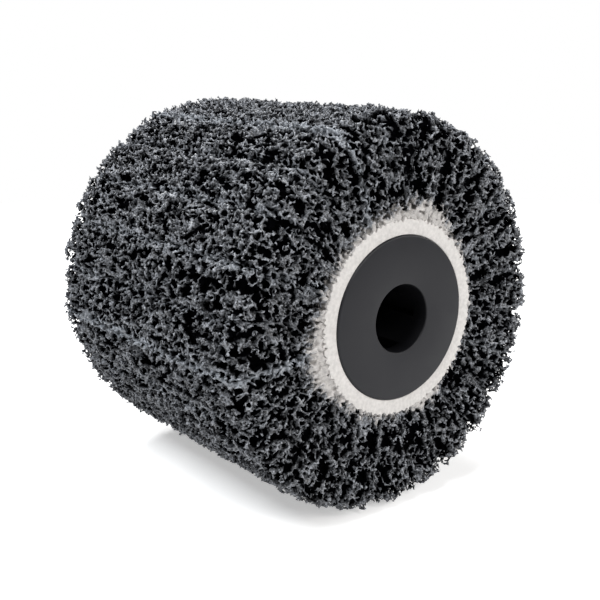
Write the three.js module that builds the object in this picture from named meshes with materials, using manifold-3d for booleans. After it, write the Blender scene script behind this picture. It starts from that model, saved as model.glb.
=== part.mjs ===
// Drum-shaped wheel brush for a surface finishing machine: a hard plastic hub with a plain clamping
// face at each end, a ring of cast epoxy round it, and radial flaps of coarse open nylon web whose
// roots are bonded into that ring.
//
// Millimetres, +Z up. The wheel's centre is the origin and it spins about +Y. The face that the
// operator sees when the wheel is on its spindle is the one that looks along -Y.

import * as THREE from "three";
import { mergeVertices } from "three/addons/utils/BufferGeometryUtils.js";
import Module from "manifold-3d";

const wasm = await Module();
wasm.setup();

// ---- Driving dimensions ----

const DRUM_DIAMETER = 110; // over the flat tips of opposite flaps
const DRUM_LENGTH = 96; // over the hub's two clamping faces
const FLAP_COUNT = 24;

const BORE_DIAMETER = 19; // standard plain spindle
const HUB_DIAMETER = 46;
const HUB_EDGE_CHAMFER = 0.6;
const BORE_EDGE_CHAMFER = 0.5;

const KEYWAY_COUNT = 4;
const KEYWAY_WIDTH = 6;
const KEYWAY_DEPTH = 2.4; // into the bore's wall
const KEYWAY_FRONT_LIP = 5; // the keyways stop this far short of the front face
const KEYWAY_TURN = THREE.MathUtils.degToRad(-6); // of the keyway nearest +X, about the wheel's axis

const JOINT_GAP = 0.3; // between pieces that are bonded or rest on each other
const RESIN_WALL = 4.2; // of the ring, between the hub and the roots
const RESIN_RECESS = 0.4; // the ring's ends lie this far inside the hub's faces
const RESIN_EDGE_CHAMFER = 0.3;

const WEB_RECESS = 0.8; // the web's ends lie this far inside the hub's faces
const WEB_SIDE_GAP = 0.4; // between one flap and the next
const WEB_RIM_ROUNDING = 6; // where a flap's tip turns into its end
const WEB_TIP_ROUNDING = 0.3; // where a flap's tip turns into its side: the pads are cut square

const ROUND_SEGMENTS = 72; // in a full turn
const CORNER_SEGMENTS = 5; // in a rounded corner

// ---- Sizes that follow from them ----

const halfLength = DRUM_LENGTH / 2;
const tipRadius = DRUM_DIAMETER / 2;
const boreRadius = BORE_DIAMETER / 2;
const hubRadius = HUB_DIAMETER / 2;
const resinInnerRadius = hubRadius + JOINT_GAP;
const resinOuterRadius = resinInnerRadius + RESIN_WALL;
const rootRadius = resinOuterRadius + JOINT_GAP;
const flapPitch = (2 * Math.PI) / FLAP_COUNT;

const materials = {
  hub: new THREE.MeshStandardMaterial({ color: 0x2b2c2f, roughness: 0.55, metalness: 0 }),
  resin: new THREE.MeshStandardMaterial({ color: 0xd9d5cd, roughness: 0.75, metalness: 0 }),
  web: new THREE.MeshStandardMaterial({ color: 0x1d1f21, roughness: 0.6, metalness: 0 }),
};

// ---- Helpers ----

function toSolid(geometry) {
  const bare = geometry.index ? geometry.toNonIndexed() : geometry.clone();
  bare.deleteAttribute("normal");
  bare.deleteAttribute("uv");
  const merged = mergeVertices(bare, 1e-4);
  return new wasm.Manifold(
    new wasm.Mesh({
      numProp: 3,
      vertProperties: merged.attributes.position.array,
      triVerts: new Uint32Array(merged.index.array),
    }),
  );
}

function toGeometry(solid) {
  const mesh = solid.getMesh();
  const geometry = new THREE.BufferGeometry();
  geometry.setAttribute("position", new THREE.BufferAttribute(mesh.vertProperties, 3));
  geometry.setIndex(new THREE.BufferAttribute(mesh.triVerts, 1));
  const faceted = geometry.toNonIndexed();
  faceted.computeVertexNormals();
  return faceted;
}

// A shape extruded by a length and centred on its own plane.
function extrude(shape, length) {
  const geometry = new THREE.ExtrudeGeometry(shape, {
    depth: length,
    bevelEnabled: false,
    curveSegments: CORNER_SEGMENTS,
  });
  geometry.translate(0, 0, -length / 2);
  return geometry;
}

// A tube round the wheel's axis with the edges of both its ends chamfered.
function tube(innerRadius, outerRadius, length, innerChamfer, outerChamfer) {
  const end = length / 2;
  const profile = [
    [innerRadius + innerChamfer, -end],
    [outerRadius - outerChamfer, -end],
    [outerRadius, -end + outerChamfer],
    [outerRadius, end - outerChamfer],
    [outerRadius - outerChamfer, end],
    [innerRadius + innerChamfer, end],
    [innerRadius, end - innerChamfer],
    [innerRadius, -end + innerChamfer],
    [innerRadius + innerChamfer, -end],
  ].map(([radius, along]) => new THREE.Vector2(radius, along));
  return new THREE.LatheGeometry(profile, ROUND_SEGMENTS);
}

function part(name, geometry, material) {
  const mesh = new THREE.Mesh(geometry, material);
  mesh.name = name;
  return mesh;
}

// ---- Hub: a moulded tube with flat clamping faces and blind keyways open at the back ----

function keywayCutter(index) {
  const clearance = 1; // past the back face and inside the bore, so that the cut is clean
  const length = DRUM_LENGTH - KEYWAY_FRONT_LIP + clearance;
  const height = KEYWAY_DEPTH + boreRadius / 2;
  const cutter = new THREE.BoxGeometry(height, length, KEYWAY_WIDTH);
  cutter.translate(
    boreRadius + KEYWAY_DEPTH - height / 2,
    halfLength + clearance - length / 2,
    0,
  );
  cutter.rotateY(KEYWAY_TURN + (index * 2 * Math.PI) / KEYWAY_COUNT);
  return cutter;
}

function hubCore() {
  let solid = toSolid(
    tube(boreRadius, hubRadius, DRUM_LENGTH, BORE_EDGE_CHAMFER, HUB_EDGE_CHAMFER),
  );
  for (let i = 0; i < KEYWAY_COUNT; i++) {
    solid = solid.subtract(toSolid(keywayCutter(i)));
  }
  return part("hub_core", toGeometry(solid), materials.hub);
}

// ---- Resin: a cast ring between the hub and the roots of the flaps ----

function bondResin() {
  const length = DRUM_LENGTH - 2 * RESIN_RECESS;
  const ring = tube(
    resinInnerRadius,
    resinOuterRadius,
    length,
    RESIN_EDGE_CHAMFER,
    RESIN_EDGE_CHAMFER,
  );
  return part("bond_resin", toGeometry(toSolid(ring)), materials.resin);
}

// ---- Flaps: wedges of open web, thin at the bonded root and thick at the tip ----

// Half the width that one flap may fill at a radius, up to its neighbour's gap.
function halfWidthAt(radius) {
  return radius * Math.tan(flapPitch / 2) - WEB_SIDE_GAP / 2 / Math.cos(flapPitch / 2);
}

// Seen along the wheel's axis, with X across and Y outwards: a wedge with a flat tip.
function flapSection() {
  const sideAngle = flapPitch / 2;
  const arcRadius = tipRadius - WEB_TIP_ROUNDING;
  const arcCentre = halfWidthAt(arcRadius) - WEB_TIP_ROUNDING / Math.cos(sideAngle);
  const rootHalf = halfWidthAt(rootRadius);
  const shape = new THREE.Shape();
  shape.moveTo(-rootHalf, rootRadius);
  shape.lineTo(rootHalf, rootRadius);
  shape.absarc(arcCentre, arcRadius, WEB_TIP_ROUNDING, -sideAngle, Math.PI / 2, false);
  shape.absarc(-arcCentre, arcRadius, WEB_TIP_ROUNDING, Math.PI / 2, Math.PI + sideAngle, false);
  shape.closePath();
  return shape;
}

// Seen from the side, with X along the wheel's axis and Y outwards: the two tip corners are round.
function flapSide() {
  const end = halfLength - WEB_RECESS;
  const below = rootRadius - WEB_RIM_ROUNDING; // under the root, where the section ends the flap
  const round = WEB_RIM_ROUNDING;
  const shape = new THREE.Shape();
  shape.moveTo(-end, below);
  shape.lineTo(end, below);
  shape.absarc(end - round, tipRadius - round, round, 0, Math.PI / 2, false);
  shape.absarc(-end + round, tipRadius - round, round, Math.PI / 2, Math.PI, false);
  shape.closePath();
  return shape;
}

function flapGeometry() {
  const section = extrude(flapSection(), DRUM_LENGTH).rotateX(Math.PI / 2);
  const widest = 2 * tipRadius * Math.tan(flapPitch / 2);
  const side = extrude(flapSide(), widest).rotateX(Math.PI / 2).rotateZ(Math.PI / 2);
  return toGeometry(toSolid(section).intersect(toSolid(side)));
}

function webFlaps() {
  const geometry = flapGeometry();
  const flaps = new THREE.Group();
  for (let i = 0; i < FLAP_COUNT; i++) {
    const number = String(i + 1).padStart(2, "0");
    const flap = part(`web_flap_${number}`, geometry, materials.web);
    flap.rotation.y = i * flapPitch;
    flaps.add(flap);
  }
  return flaps;
}

// ---- The wheel ----

const wheelBrush = new THREE.Group();
wheelBrush.add(hubCore(), bondResin(), webFlaps());

export default wheelBrush;
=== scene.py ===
"""Looks of a drum wheel brush: a moulded hub, a cast ring of resin, and 24 flaps of coarse open web.

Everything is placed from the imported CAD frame. Axial means along Y, the wheel's axis. A flap's own
coordinates are in millimetres: across it, along the axis, and outwards from the axis.
"""

import itertools
import math
from concurrent.futures import ThreadPoolExecutor

import bmesh
import bpy
import numpy as np
import openvdb
from mathutils import Matrix, Vector


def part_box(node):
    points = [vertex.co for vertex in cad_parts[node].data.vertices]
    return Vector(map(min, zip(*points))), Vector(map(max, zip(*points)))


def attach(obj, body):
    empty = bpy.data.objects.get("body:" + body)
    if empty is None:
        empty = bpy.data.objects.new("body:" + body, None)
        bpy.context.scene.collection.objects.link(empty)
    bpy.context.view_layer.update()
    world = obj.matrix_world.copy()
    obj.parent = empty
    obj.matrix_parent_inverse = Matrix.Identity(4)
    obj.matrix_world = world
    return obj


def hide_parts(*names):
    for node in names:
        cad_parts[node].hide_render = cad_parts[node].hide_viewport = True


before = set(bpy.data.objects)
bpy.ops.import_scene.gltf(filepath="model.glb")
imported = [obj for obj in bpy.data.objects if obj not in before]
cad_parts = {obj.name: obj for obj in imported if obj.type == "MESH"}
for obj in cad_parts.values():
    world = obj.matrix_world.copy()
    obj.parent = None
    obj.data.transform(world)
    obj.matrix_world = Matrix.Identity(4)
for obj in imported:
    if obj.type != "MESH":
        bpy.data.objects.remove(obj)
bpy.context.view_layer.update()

# ---- Sizes, in millimetres unless a comment says otherwise ----

MM = 0.001

hub_corner = Vector(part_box("hub_core")[1]) / MM
ring_corner = Vector(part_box("bond_resin")[1]) / MM
flap_low, flap_high = (Vector(corner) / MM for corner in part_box("web_flap_01"))

HUB_RADIUS = hub_corner.x
HUB_END = hub_corner.y
HUB_SEGMENTS = 256
HUB_ROUNDING = 0.55
HUB_SHARP_ANGLE = math.radians(35)
BORE_RADIUS = 9.5
BORE_ROUNDING = 0.45
BORE_EDGE = 0.3  # how far out from the bore its painted shade turns into the hub's own satin
KEYWAY_COUNT = 4
KEYWAY_WIDTH = 6.0
KEYWAY_DEPTH = 2.4
KEYWAY_FRONT_LIP = 5.0
KEYWAY_TURN = math.radians(-6)
KEYWAY_CLEARANCE = 1.0  # of the cut past the back face

RING_RADIUS = ring_corner.x
RING_END = ring_corner.y
RING_SEGMENTS = 720
RING_ROUNDING = 0.25
RING_JOINT = 0.06  # thin line between the hub and the resin
RING_WAVES = (12, 150)  # of its uneven outer edge, in a full turn
RING_UNEVEN = 0.25  # how far its outer edge swings
RING_RECESS = 0.3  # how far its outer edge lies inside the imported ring

CORNER_STEPS = 5  # points on a rounded corner

WEB_ROOT = flap_low.z
WEB_TIP = flap_high.z
WEB_END = flap_high.y
FLAP_COUNT = sum(name.startswith("web_flap_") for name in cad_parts)
FLAP_PITCH = 2 * math.pi / FLAP_COUNT
FLAP_SLOPE = math.tan(FLAP_PITCH / 2)

# The web is an open network of strands, found as the zero surface of a field on a voxel grid. Lengths
# and sizes with three numbers are across a flap, along the axis and outwards.

VOXEL = 0.3
MARGIN = 3.0  # of the grid round the flap
OUTSIDE = 1.0  # the field's value far from the web
THREADS = 4
MOST_TRIANGLES = 130_000  # in one flap

RIM_ROUNDING = 5.2
OPEN_DEPTH = 2.6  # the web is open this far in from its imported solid, and solid below
CORE_SLOPE = 0.5  # how fast the field falls in the solid core
CELL = (0.92, 2.2, 3.2)  # mean size of the web's holes
CELL_REACH = (2, 1, 1)  # how many cells away a nearest seed may lie
CELL_JITTER = 0.9  # how far a seed may lie from its cell's middle, as a share of the cell
FAR = 99.0  # more than the square of any distance to a nearest seed
STRAND = 0.3  # thickness of a strand, more or less
STRAND_UNEVEN = 0.16  # how much it varies with each of the layers and the tufts
CRINKLE = 0.26  # how far a strand wanders
CRINKLE_LENGTH = (2.6, 2.6, 2.6)
NOISE_BAND = 0.45  # how far the wavelengths of a noise lie from its mean one, as a share

WEB_PROUD = 1.5  # how far the web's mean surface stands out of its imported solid
PROUD_START = 27.0  # radius where the web begins to rise out of the resin at the drum's ends
PROUD_LENGTH = 9.0  # how far out it takes to rise fully
CLUMP_LENGTH = (8.0, 8.0, 8.0)  # of the wide swells in the web's surface
CLUMP_HEIGHT = 0.18
TUFT_LENGTH = (2.6, 5.0, 5.0)  # of the small tufts
TUFT_HEIGHT = 0.32
LAYER_LENGTH = (3.4, 18.0, 18.0)  # of the uneven layers, which lie in the flap's plane
LAYER_HEIGHT = 0.38
TIP_LENGTH = 1.1  # how far a strand's thin end stands out of the web's mean surface
TIP_DEPTH = 1.0  # where in the web a strand has its full thickness
TIP_CUT = 0.2  # what a strand loses at its very end

FIELD_ABOVE = 1.3  # how far out of the web's surface the field is worked out
FIELD_BELOW = 2.0  # and how far into the solid core
FIELD_BESIDE = 0.5  # and how far past the flap's side

SEAM_WIDTH = 3.2  # of the strip beside the seam between two flaps, where their webs were pressed
SEAM_THICKER = 0.45  # how much thicker a strand is in a fully pressed seam
SEAM_OVERLAP = 0.25  # how far the strands of one flap reach into the next
SEAM_RAGGED = 0.25  # how far a flap's side varies with its tufts
SEAM_NOTCH = 3.4  # depth of the groove along a seam that was not pressed at all
SEAM_PRESS_MOST = 0.6  # of a seam that has no value of its own
SEAM_PRESSED = {16: 0.5, 17: 1.0, 18: 0.35, 19: 0.6, 20: 0.5, 22: 1.0}  # by the flap before it

ROOT_OVERLAP = 1.4  # how far the soaked roots reach into the resin ring
SOAK_REACH = 28.3  # radius that the resin reaches in the web at the drum's ends
SOAK_FADE = 4.2  # how far out it thins from full to none
SOAK_SHALLOW = 9.0  # how far the soaked web goes along the axis
SOAK_THINNING = 2.0  # how far along the axis it takes to end there
SOAK_RAGGED = 1.0  # how far its edge varies with the streaks
SOAK_STREAK = (1.5, 7.0, 7.0)  # length of those streaks
SOAK_THICKER = 0.8  # how much thicker a soaked strand is
SOAK_CLOSED = 0.8  # how soaked a place is when its holes begin to close
SOAK_CLOSING = 8.0  # how fast they close
SOAK_PATCHES = (  # where it reached further: middle and half width in degrees, and reach
    (18, 24, 4.0),
    (157, 9, 2.0),
    (255, 20, 5.0),
    (90, 40, -0.3),
)

# ---- Colours and textures ----

WEB_DARK = (0.03, 0.031, 0.034)
WEB_LIGHT = (0.37, 0.388, 0.425)
WEB_PRESSED = (0.33, 0.36, 0.4)
# painted shade: the near-black that the strands are painted deep in the web, where shade falls
# between them
WEB_DEPTH_SHADE = (0.0015, 0.0015, 0.002)
WEB_SHADE_DEPTH = 2.1  # depth over which the web's colour is painted down to black, as painted shade in its holes
WEB_SHINE = 0.6  # of the strands at the surface
GRIT_SCALE = 1900.0  # waves to the metre, as for the three noises below
FROST_SCALE = 2200.0
MOTTLE_SCALE = 220.0
GRAIN_SCALE = 1100.0
SOAKED_COLOUR = (0.47, 0.45, 0.435)
RESIN_COLOUR = (0.635, 0.612, 0.592)
RESIN_SHADE = 0.8  # of the darker spots in the resin
# painted shade inside the bore, darker than the hub's own colour
BORE_PAINTED_SHADE = (0.004, 0.004, 0.005)
HUB_COLOUR = (0.0098, 0.0099, 0.0128)
HUB_SHADE = 0.85  # of the darker spots in the hub

# ---- Stage ----

FLOOR_RADIUS = 0.6  # in metres
FLOOR_SIDES = 96
FLOOR_GLOW = 0.45
SKY_LIGHT = 0.15
LIGHTS = (  # name, azimuth, elevation, distance and size in metres, power, colour
    ("key", -85, 55, 2.4, 0.9, 52.0, (0.96, 0.98, 1.0)),
    ("front", 5, 35, 2.4, 1.1, 31.0, (1.0, 0.98, 0.96)),
    ("right", 60, 25, 2.4, 0.9, 18.0, (1.0, 0.99, 0.97)),
    ("back", 160, 60, 2.4, 0.9, 34.0, (1.0, 1.0, 1.0)),
)
CAMERA_AZIMUTH = math.radians(-38.42)
CAMERA_ELEVATION = math.radians(14.41)
CAMERA_DISTANCE = 293.46
CAMERA_LENS = 56.64
CAMERA_AIM = (2.04, -4.25)  # right of the wheel's centre, and above it


# ---- Web ----


def grid_line(low, high):
    """Places from low to past high, one voxel apart."""
    return np.arange(low, high + VOXEL, VOXEL, dtype=np.float32)


def smooth_noise(shape, wavelengths, rng):
    """Noise of these wavelengths, in millimetres, with a mean of 0 and a spread of 1."""
    whole = [12 * math.ceil(count / 12) for count in shape]  # counts that transform quickly
    spectrum = np.fft.rfftn(rng.standard_normal(whole, dtype=np.float32))
    across = np.fft.fftfreq(whole[0], VOXEL)[:, None, None] * wavelengths[0]
    along = np.fft.fftfreq(whole[1], VOXEL)[None, :, None] * wavelengths[1]
    outward = np.fft.rfftfreq(whole[2], VOXEL)[None, None, :] * wavelengths[2]
    pitch = np.sqrt(across**2 + along**2 + outward**2)
    spectrum *= np.exp(-0.5 * ((pitch - 1) / NOISE_BAND) ** 2)
    noise = np.fft.irfftn(spectrum, s=whole, axes=(0, 1, 2)).astype(np.float32)
    return noise[: shape[0], : shape[1], : shape[2]] / noise.std()


def rounded_max(a, b, radius):
    """The greater of two depths, with the edge where they meet rounded."""
    over_a = np.maximum(a + radius, 0)
    over_b = np.maximum(b + radius, 0)
    return np.hypot(over_a, over_b) + np.minimum(np.maximum(a, b) + radius, 0) - radius


def smooth_step(value):
    """A smooth rise from 0 to 1 as the value goes from 0 to 1."""
    value = np.clip(value, 0, 1)
    return value * value * (3 - 2 * value)


def edge_distance(points, rng):
    """How far each point is from the nearest edge between three cells of a random foam."""
    scaled = [p / size for p, size in zip(points, CELL)]
    scaled = [p - p.min() + reach + 1 for p, reach in zip(scaled, CELL_REACH)]
    home = [np.floor(p).astype(np.int32) for p in scaled]
    offset = [(p - h).astype(np.float32) for p, h in zip(scaled, home)]
    counts = [int(h.max()) + reach + 1 for h, reach in zip(home, CELL_REACH)]
    seeds = rng.random((3, math.prod(counts)), dtype=np.float32) - 0.5
    seeds = 0.5 + CELL_JITTER * seeds
    here = (home[0] * counts[1] + home[1]) * counts[2] + home[2]
    near = [np.full(here.shape, FAR, np.float32) for _ in range(3)]
    for step in itertools.product(*(range(-reach, reach + 1) for reach in CELL_REACH)):
        cell = here + (step[0] * counts[1] + step[1]) * counts[2] + step[2]
        distance = sum(
            (size * (seeds[axis][cell] + step[axis] - offset[axis])) ** 2
            for axis, size in enumerate(CELL)
        )
        second = np.maximum(near[0], distance)
        near[0] = np.minimum(near[0], distance)
        third = np.maximum(near[1], second)
        near[1] = np.minimum(near[1], second)
        near[2] = np.minimum(near[2], third)
    return np.sqrt(near[2]) - np.sqrt(near[0])


def soak(radius, turn, along, ragged):
    """From 0 to 1, how full of resin the web is at a place. turn is in degrees round the axis."""
    reach = SOAK_REACH + 0 * turn
    for middle, half_width, more in SOAK_PATCHES:
        away = (turn - middle + 180) % 360 - 180
        reach = reach + more * np.exp(-((away / half_width) ** 2))
    inward = smooth_step((np.abs(along) - WEB_END + SOAK_SHALLOW) / SOAK_THINNING)
    return smooth_step((reach + SOAK_RAGGED * ragged - radius) / SOAK_FADE + 0.5) * inward


def seam_press(index):
    """From 0 to 1, how hard a flap was pressed against the next one."""
    index %= FLAP_COUNT
    chance = np.random.default_rng(FLAP_COUNT + index).uniform(0.0, SEAM_PRESS_MOST)
    return SEAM_PRESSED.get(index, chance)


def flap_lines():
    """The grid lines of a flap, in its own coordinates."""
    half_width = WEB_TIP * FLAP_SLOPE
    return (
        grid_line(-half_width - MARGIN / 2, half_width + MARGIN / 2),
        grid_line(-WEB_END - MARGIN, WEB_END + MARGIN),
        grid_line(WEB_ROOT - ROOT_OVERLAP - 2 * VOXEL, WEB_TIP + MARGIN),
    )


def flap_field(index):
    """The grid lines of one flap, its field, which is negative inside the web, and its looks there.

    Adding 0 times a line spreads a value over the whole grid."""
    rng = np.random.default_rng(index)
    lines = flap_lines()
    shape = tuple(len(line) for line in lines)
    across, along, outward = np.meshgrid(*lines, indexing="ij", sparse=True)
    clump, tuft, layer, streak = (
        smooth_noise(shape, lengths, rng)
        for lengths in (CLUMP_LENGTH, TUFT_LENGTH, LAYER_LENGTH, SOAK_STREAK)
    )
    wander = [smooth_noise(shape, CRINKLE_LENGTH, rng) for _ in range(3)]

    radius = np.hypot(across, outward) + 0 * along
    side = (np.abs(across) - outward * FLAP_SLOPE) * math.cos(FLAP_PITCH / 2) + 0 * along
    side = side - SEAM_OVERLAP + SEAM_RAGGED * tuft
    press = np.where(across < 0, seam_press(index - 1), seam_press(index)) + 0 * side
    seam = smooth_step(1 + side / SEAM_WIDTH)
    end = np.abs(along) - WEB_END + 0 * radius
    wheel = rounded_max(radius - WEB_TIP, end, RIM_ROUNDING)
    risen = smooth_step((radius - PROUD_START) / PROUD_LENGTH)
    uneven = CLUMP_HEIGHT * clump + TUFT_HEIGHT * tuft + LAYER_HEIGHT * layer - WEB_PROUD
    skin = wheel + (SEAM_NOTCH * (1 - press) * seam**2 + uneven) * risen

    inside = (outward > WEB_ROOT - ROOT_OVERLAP) & (side < FIELD_BESIDE)
    solid = wheel <= -OPEN_DEPTH - FIELD_BELOW
    near = (skin < FIELD_ABOVE) & ~solid & inside
    places = np.nonzero(near)
    points = [
        line[place] + CRINKLE * shift[near] for line, place, shift in zip(lines, places, wander)
    ]
    edge = edge_distance(points, rng)

    turn = np.degrees(np.arctan2(across, outward)) + math.degrees(index * FLAP_PITCH) + 0 * along
    soaked = soak(radius[near], turn[near], (along + 0 * radius)[near], streak[near])
    pressed = press[near] * seam[near]
    closed = np.maximum(soaked - SOAK_CLOSED, 0) * SOAK_CLOSING
    thickness = STRAND * (1 + STRAND_UNEVEN * layer[near] + STRAND_UNEVEN * tuft[near])
    thickness += STRAND * (SEAM_THICKER * pressed + SOAK_THICKER * soaked + closed)
    depth = -skin[near]
    tip = smooth_step((depth + TIP_LENGTH) / (TIP_LENGTH + TIP_DEPTH))
    thickness = thickness * tip - TIP_CUT * (1 - tip)
    core = (wheel[near] + OPEN_DEPTH) * CORE_SLOPE
    field = np.full(shape, OUTSIDE, np.float32)
    field[near] = np.maximum(np.minimum(edge - thickness, core), side[near])
    deep = solid & inside
    field[deep] = np.maximum(-OUTSIDE, side[deep])

    # depth also drives the painted shade in the web's material
    looks = {
        "resin": np.zeros(shape, np.float32),
        "depth": np.full(shape, OPEN_DEPTH, np.float32),
        "pressed": np.zeros(shape, np.float32),
    }
    for name, values in (("resin", soaked), ("depth", depth), ("pressed", pressed)):
        looks[name][near] = values
    return lines, field, looks


def sample(volume, points):
    """The volume's value at each point, given in voxels, mixed from the eight voxels round it."""
    low = np.clip(np.floor(points).astype(np.int32), 0, np.array(volume.shape) - 2)
    share = points - low
    total = np.zeros(len(points), np.float32)
    for i, j, k in ((i, j, k) for i in (0, 1) for j in (0, 1) for k in (0, 1)):
        weight = (
            (share[:, 0] if i else 1 - share[:, 0])
            * (share[:, 1] if j else 1 - share[:, 1])
            * (share[:, 2] if k else 1 - share[:, 2])
        )
        total += weight * volume[low[:, 0] + i, low[:, 1] + j, low[:, 2] + k]
    return total


def attached(count, quads):
    """The quads of the largest connected piece, out of quads that join this many points."""
    first = quads[:, :3].ravel()
    second = quads[:, 1:].ravel()
    label = np.arange(count)
    while True:
        before = label
        low = np.minimum(label[first], label[second])
        label = label.copy()
        np.minimum.at(label, before[first], low)
        np.minimum.at(label, before[second], low)
        label = label[label]
        if np.array_equal(label, before):
            break
    owner = label[quads[:, 0]]
    return quads[owner == np.bincount(owner).argmax()]


def flap_surface(index):
    """The points, the quads and the looks of one flap's web, in its place on the wheel."""
    lines, field, looks = flap_field(index)
    grid = openvdb.FloatGrid()
    grid.background = OUTSIDE
    grid.copyFromArray(field)
    points, quads = grid.convertToQuads(0.0)
    quads = attached(len(points), quads)
    used, quads = np.unique(quads, return_inverse=True)
    points, quads = points[used], quads.reshape(-1, 4)
    local = points * VOXEL + np.array([line[0] for line in lines])
    angle = index * FLAP_PITCH
    place = np.empty_like(local)
    place[:, 0] = local[:, 0] * math.cos(angle) + local[:, 2] * math.sin(angle)
    place[:, 1] = local[:, 1]
    place[:, 2] = local[:, 2] * math.cos(angle) - local[:, 0] * math.sin(angle)
    return place, quads, {name: sample(volume, points) for name, volume in looks.items()}


def surface_mesh(name, points, quads, looks):
    """A mesh of these quads, which carries each look as an attribute of its points."""
    mesh = bpy.data.meshes.new(name)
    mesh.vertices.add(len(points))
    mesh.vertices.foreach_set("co", (points * MM).astype(np.float32).ravel())
    mesh.loops.add(quads.size)
    mesh.loops.foreach_set("vertex_index", quads.astype(np.int32).ravel())
    mesh.polygons.add(len(quads))
    mesh.polygons.foreach_set("loop_start", np.arange(0, quads.size, 4, dtype=np.int32))
    mesh.update(calc_edges=True)
    mesh.shade_smooth()
    for look, values in looks.items():
        mesh.attributes.new(look, "FLOAT", "POINT").data.foreach_set("value", values)
    return mesh


def thinned(meshes):
    """These meshes with fewer faces, and most of them where they bend. All are done together."""
    holders = []
    for mesh in meshes:
        holder = bpy.data.objects.new(mesh.name, mesh)
        bpy.context.collection.objects.link(holder)
        thin = holder.modifiers.new("thin", "DECIMATE")
        thin.ratio = min(1, MOST_TRIANGLES / (2 * len(mesh.polygons)))
        holders.append(holder)
    graph = bpy.context.evaluated_depsgraph_get()
    finished = [bpy.data.meshes.new_from_object(holder.evaluated_get(graph)) for holder in holders]
    for holder, mesh in zip(holders, meshes):
        bpy.data.objects.remove(holder)
        bpy.data.meshes.remove(mesh)
    return finished


# ---- Materials ----


def new_material(name):
    """A material, with its nodes, its links and its surface shader."""
    material = bpy.data.materials.new(name)
    material.use_nodes = True
    nodes = material.node_tree.nodes
    return material, nodes, material.node_tree.links, nodes["Principled BSDF"]


def node(nodes, kind, **settings):
    """A new shader node with these settings."""
    new = nodes.new(kind)
    for name, value in settings.items():
        setattr(new, name, value)
    return new


def mix_colours(nodes, links, share, first, second):
    """The output of a mix of two colours, or of two outputs, by an output from 0 to 1."""
    mix = node(nodes, "ShaderNodeMix", data_type="RGBA")
    links.new(share, mix.inputs[0])
    for socket, colour in ((mix.inputs[6], first), (mix.inputs[7], second)):
        if isinstance(colour, tuple):
            socket.default_value = (*colour, 1)
        else:
            links.new(colour, socket)
    return mix.outputs[2]


def spread(nodes, links, value, low, high, to_low=0.0, to_high=1.0):
    """An output that runs from to_low to to_high as another runs from low to high."""
    change = node(nodes, "ShaderNodeMapRange")
    for name, number in (
        ("From Min", low),
        ("From Max", high),
        ("To Min", to_low),
        ("To Max", to_high),
    ):
        change.inputs[name].default_value = number
    links.new(value, change.inputs["Value"])
    return change.outputs["Result"]


def object_noise(nodes, links, scale, detail=2.0):
    """Noise in the piece's own coordinates, with scale in waves to the metre."""
    place = node(nodes, "ShaderNodeTexCoord")
    noise = node(nodes, "ShaderNodeTexNoise")
    noise.inputs["Scale"].default_value = scale
    noise.inputs["Detail"].default_value = detail
    links.new(place.outputs["Object"], noise.inputs["Vector"])
    return noise.outputs["Fac"]


def web_material():
    """Grey gritty strands with painted shade that turns them black and takes their shine in depth,
    pale where they were soaked or pressed.
    """
    material, nodes, links, shader = new_material("nylon_web")
    resin, depth, pressed = (
        node(nodes, "ShaderNodeAttribute", attribute_name=look).outputs["Fac"]
        for look in ("resin", "depth", "pressed")
    )
    grit = object_noise(nodes, links, GRIT_SCALE)
    grey = mix_colours(nodes, links, spread(nodes, links, grit, 0.4, 0.62), WEB_DARK, WEB_LIGHT)
    flat = spread(nodes, links, pressed, 0.1, 1.0, 0.0, 0.6)
    grey = mix_colours(nodes, links, flat, grey, WEB_PRESSED)
    # Painted shade: the colour darkens to black with depth in the web, standing in for the shade
    # between the strands.
    black = mix_colours(nodes, links, spread(nodes, links, depth, 0.0, WEB_SHADE_DEPTH), grey, WEB_DEPTH_SHADE)
    frost = object_noise(nodes, links, FROST_SCALE)
    white = node(nodes, "ShaderNodeMath", operation="ADD")
    links.new(resin, white.inputs[0])
    links.new(spread(nodes, links, frost, 0.3, 0.7, -0.3, 0.3), white.inputs[1])
    white = spread(nodes, links, white.outputs[0], 0.3, 0.9)
    links.new(mix_colours(nodes, links, white, black, SOAKED_COLOUR), shader.inputs["Base Color"])
    links.new(spread(nodes, links, grit, 0.3, 0.7, 0.25, 0.42), shader.inputs["Roughness"])
    # Painted shade also takes the shine away with depth.
    shine = spread(nodes, links, depth, 0.0, WEB_SHADE_DEPTH, WEB_SHINE, 0.0)
    links.new(shine, shader.inputs["Specular IOR Level"])
    return material


def plastic_material():
    """Satin black plastic, with painted shade and less shine inside the bore."""
    material, nodes, links, shader = new_material("hub_plastic")
    mottle = object_noise(nodes, links, MOTTLE_SCALE, 4.0)
    share = spread(nodes, links, mottle, 0.3, 0.7)
    darker = tuple(HUB_SHADE * part for part in HUB_COLOUR)
    face = mix_colours(nodes, links, share, darker, HUB_COLOUR)
    place = node(nodes, "ShaderNodeTexCoord")
    across_axis = node(nodes, "ShaderNodeVectorMath", operation="MULTIPLY")
    across_axis.inputs[1].default_value = (1, 0, 1)
    radius = node(nodes, "ShaderNodeVectorMath", operation="LENGTH")
    links.new(place.outputs["Object"], across_axis.inputs[0])
    links.new(across_axis.outputs["Vector"], radius.inputs[0])
    # Painted shade: inside the bore the plastic is painted darker and given less shine than on the
    # hub's face.
    outside = spread(
        nodes, links, radius.outputs["Value"], BORE_RADIUS * MM, (BORE_RADIUS + BORE_EDGE) * MM
    )
    colour = mix_colours(nodes, links, outside, BORE_PAINTED_SHADE, face)
    links.new(colour, shader.inputs["Base Color"])
    links.new(spread(nodes, links, mottle, 0.3, 0.7, 0.42, 0.52), shader.inputs["Roughness"])
    links.new(spread(nodes, links, outside, 0, 1, 0.15, 0.32), shader.inputs["Specular IOR Level"])
    return material


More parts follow.
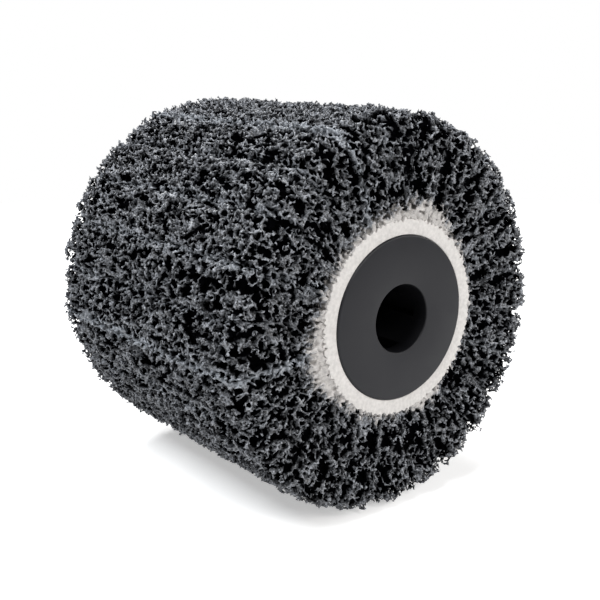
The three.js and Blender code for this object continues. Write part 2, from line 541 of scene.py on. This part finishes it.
def resin_material():
    """Dull off-white resin with a fine grain."""
    material, nodes, links, shader = new_material("resin")
    grain = object_noise(nodes, links, GRAIN_SCALE, 5.0)
    share = spread(nodes, links, grain, 0.3, 0.7)
    darker = tuple(RESIN_SHADE * part for part in RESIN_COLOUR)
    links.new(mix_colours(nodes, links, share, darker, RESIN_COLOUR), shader.inputs["Base Color"])
    shader.inputs["Roughness"].default_value = 0.7
    return material


# ---- Pieces ----


def add_piece(name, mesh, material, slot, *nodes):
    """A piece made of a finished mesh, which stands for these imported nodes."""
    mesh.materials.append(material)
    piece = bpy.data.objects.new(name, mesh)
    bpy.context.collection.objects.link(piece)
    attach(piece, "root")
    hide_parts(*nodes)
    return piece


def turned_mesh(name, profile, segments, swell=None):
    """A closed ring: a profile of (radius, along) points, turned about the axis.

    swell gives how much further out a point lies, from its place in the profile and its angle."""
    count = len(profile)
    points = []
    for i in range(segments):
        angle = 2 * math.pi * i / segments
        for j, (radius, along) in enumerate(profile):
            radius += swell(j, angle) if swell else 0
            points.append((radius * math.sin(angle) * MM, along * MM, radius * math.cos(angle) * MM))
    faces = []
    for i in range(segments):
        after = (i + 1) % segments
        for j in range(count):
            k = (j + 1) % count
            faces.append((i * count + j, i * count + k, after * count + k, after * count + j))
    mesh = bpy.data.meshes.new(name)
    mesh.from_pydata(points, [], faces)
    solid = bmesh.new()
    solid.from_mesh(mesh)
    bmesh.ops.recalc_face_normals(solid, faces=solid.faces)
    solid.to_mesh(mesh)
    solid.free()
    mesh.shade_smooth()
    return mesh


def rounded_corner(radius, along, size, turn):
    """Points of a quarter circle inside a profile's corner. turn is the quarter, from 0 to 3."""
    signs = ((1, -1), (1, 1), (-1, 1), (-1, -1))[turn]
    start = (-90, 0, 90, 180)[turn]
    centre = (radius - signs[0] * size, along - signs[1] * size)
    angles = [
        math.radians(start + 90 * step / (CORNER_STEPS - 1)) for step in range(CORNER_STEPS)
    ]
    return [(centre[0] + size * math.cos(a), centre[1] + size * math.sin(a)) for a in angles]


def tube_profile(inner, outer, end, inner_size, outer_size):
    """The outline of a tube's wall, with its edges rounded to these sizes."""
    return [
        *rounded_corner(outer, -end, outer_size, 0),
        *rounded_corner(outer, end, outer_size, 1),
        *rounded_corner(inner, end, inner_size, 2),
        *rounded_corner(inner, -end, inner_size, 3),
    ]


def keyway_block():
    """The four keyways as one crossed solid, open at the back."""
    length = HUB_END * 2 - KEYWAY_FRONT_LIP + KEYWAY_CLEARANCE
    height = BORE_RADIUS + KEYWAY_DEPTH
    middle = HUB_END + KEYWAY_CLEARANCE - length / 2
    block = bmesh.new()
    for index in range(KEYWAY_COUNT):
        made = bmesh.ops.create_cube(block, size=1)
        size = Matrix.Diagonal((height, length, KEYWAY_WIDTH, 1))
        shift = Matrix.Translation((height / 2, middle, 0))
        turn = Matrix.Rotation(KEYWAY_TURN + index * 2 * math.pi / KEYWAY_COUNT, 4, "Y")
        bmesh.ops.transform(block, matrix=turn @ shift @ size, verts=made["verts"])
    bmesh.ops.scale(block, vec=(MM, MM, MM), verts=block.verts)
    mesh = bpy.data.meshes.new("keyways")
    block.to_mesh(mesh)
    block.free()
    return mesh


def hub_mesh():
    """The moulded tube with its keyways cut."""
    profile = tube_profile(BORE_RADIUS, HUB_RADIUS, HUB_END, BORE_ROUNDING, HUB_ROUNDING)
    tube = bpy.data.objects.new("tube", turned_mesh("hub", profile, HUB_SEGMENTS))
    cutter = bpy.data.objects.new("cutter", keyway_block())
    for item in (tube, cutter):
        bpy.context.collection.objects.link(item)
    cut = tube.modifiers.new("keyways", "BOOLEAN")
    cut.object = cutter
    cut.use_self = True
    finished = tube.evaluated_get(bpy.context.evaluated_depsgraph_get())
    mesh = bpy.data.meshes.new_from_object(finished)
    mesh.name = "hub"
    for item in (tube, cutter):
        bpy.data.objects.remove(item)
    mesh.shade_smooth()
    mesh.set_sharp_from_angle(angle=HUB_SHARP_ANGLE)
    return mesh


def ripple(rng, lowest, highest):
    """A wave round a circle, with a spread of about 1."""
    waves = [(n, rng.uniform(0, 2 * math.pi), rng.normal()) for n in range(lowest, highest)]
    scale = 1 / math.sqrt(len(waves) / 2)
    return lambda angle: scale * sum(h * math.sin(n * angle + start) for n, start, h in waves)


def ring_mesh():
    """The resin's ring: smooth against the hub, and uneven where it met the web."""
    profile = tube_profile(
        HUB_RADIUS + RING_JOINT, RING_RADIUS, RING_END, RING_ROUNDING, RING_ROUNDING
    )
    half = len(profile) // 2
    edge = ripple(np.random.default_rng(FLAP_COUNT), *RING_WAVES)

    def swell(place, angle):
        return RING_UNEVEN * edge(angle) - RING_RECESS if place < half else 0.0

    return turned_mesh("resin_ring", profile, RING_SEGMENTS, swell)


add_piece("hub", hub_mesh(), plastic_material(), "hub_plastic", "hub_core")
add_piece("resin_ring", ring_mesh(), resin_material(), "resin", "bond_resin")

web_look = web_material()
with ThreadPoolExecutor(max_workers=THREADS) as pool:
    surfaces = pool.map(flap_surface, range(FLAP_COUNT))
    web_meshes = [surface_mesh("web", *surface) for surface in surfaces]
web_meshes = thinned(web_meshes)
for index, mesh in enumerate(web_meshes):
    number = f"{index + 1:02d}"
    mesh.name = f"web_{number}"
    add_piece(f"web_{number}", mesh, web_look, "nylon_web", f"web_flap_{number}")

# ---- Stage, lights and camera ----


def seen_and_given(nodes, links, seen, given):
    """An output that is one number for what the camera sees, and another for the light given."""
    path = node(nodes, "ShaderNodeLightPath")
    return spread(nodes, links, path.outputs["Is Camera Ray"], 0, 1, given, seen)


def add_floor():
    """A white disc that the drum lies on."""
    mesh = bpy.data.meshes.new("floor")
    angles = [2 * math.pi * i / FLOOR_SIDES for i in range(FLOOR_SIDES)]
    height = -(WEB_TIP + WEB_PROUD) * MM
    corners = [(FLOOR_RADIUS * math.cos(a), FLOOR_RADIUS * math.sin(a), height) for a in angles]
    mesh.from_pydata(corners, [], [range(FLOOR_SIDES)])
    material, nodes, links, shader = new_material("floor")
    shader.inputs["Base Color"].default_value = (0.85, 0.85, 0.85, 1)
    shader.inputs["Roughness"].default_value = 0.9
    shader.inputs["Emission Color"].default_value = (1, 1, 1, 1)
    glow = seen_and_given(nodes, links, FLOOR_GLOW, 0.0)
    links.new(glow, shader.inputs["Emission Strength"])
    mesh.materials.append(material)
    floor = bpy.data.objects.new("floor", mesh)
    bpy.context.collection.objects.link(floor)


def direction(azimuth, elevation):
    """The direction of a place as seen from the wheel. Azimuth 0 is in front of it."""
    level = math.cos(elevation)
    return Vector((math.sin(azimuth) * level, -math.cos(azimuth) * level, math.sin(elevation)))


def add_light(name, azimuth, elevation, distance, size, power, colour):
    """A square lamp that looks at the wheel's centre. Its angles are in degrees."""
    away = direction(math.radians(azimuth), math.radians(elevation))
    data = bpy.data.lights.new(name, "AREA")
    data.size = size
    data.energy = power
    data.color = colour
    light = bpy.data.objects.new(name, data)
    light.location = away * distance
    light.rotation_euler = away.to_track_quat("Z", "Y").to_euler()
    bpy.context.collection.objects.link(light)


def add_world():
    """A plain white sky, which gives less light than the camera sees."""
    world = bpy.data.worlds.new("studio")
    world.use_nodes = True
    nodes, links = world.node_tree.nodes, world.node_tree.links
    background = nodes["Background"]
    background.inputs["Color"].default_value = (1, 1, 1, 1)
    links.new(seen_and_given(nodes, links, 1.0, SKY_LIGHT), background.inputs["Strength"])
    bpy.context.scene.world = world


def add_camera():
    """The camera of the main view, aimed a little to the side of the wheel's centre."""
    back = direction(CAMERA_AZIMUTH, CAMERA_ELEVATION)
    right = Vector((math.cos(CAMERA_AZIMUTH), math.sin(CAMERA_AZIMUTH), 0))
    up = back.cross(right)
    target = right * CAMERA_AIM[0] + up * CAMERA_AIM[1]
    data = bpy.data.cameras.new("camera")
    data.lens = CAMERA_LENS
    camera = bpy.data.objects.new("camera", data)
    camera.location = (target + back * CAMERA_DISTANCE) * MM
    camera.rotation_euler = (-back).to_track_quat("-Z", "Y").to_euler()
    bpy.context.collection.objects.link(camera)
    bpy.context.scene.camera = camera


add_floor()
add_world()
for light in LIGHTS:
    add_light(*light)
add_camera()
bpy.context.scene.view_settings.view_transform = "Standard"
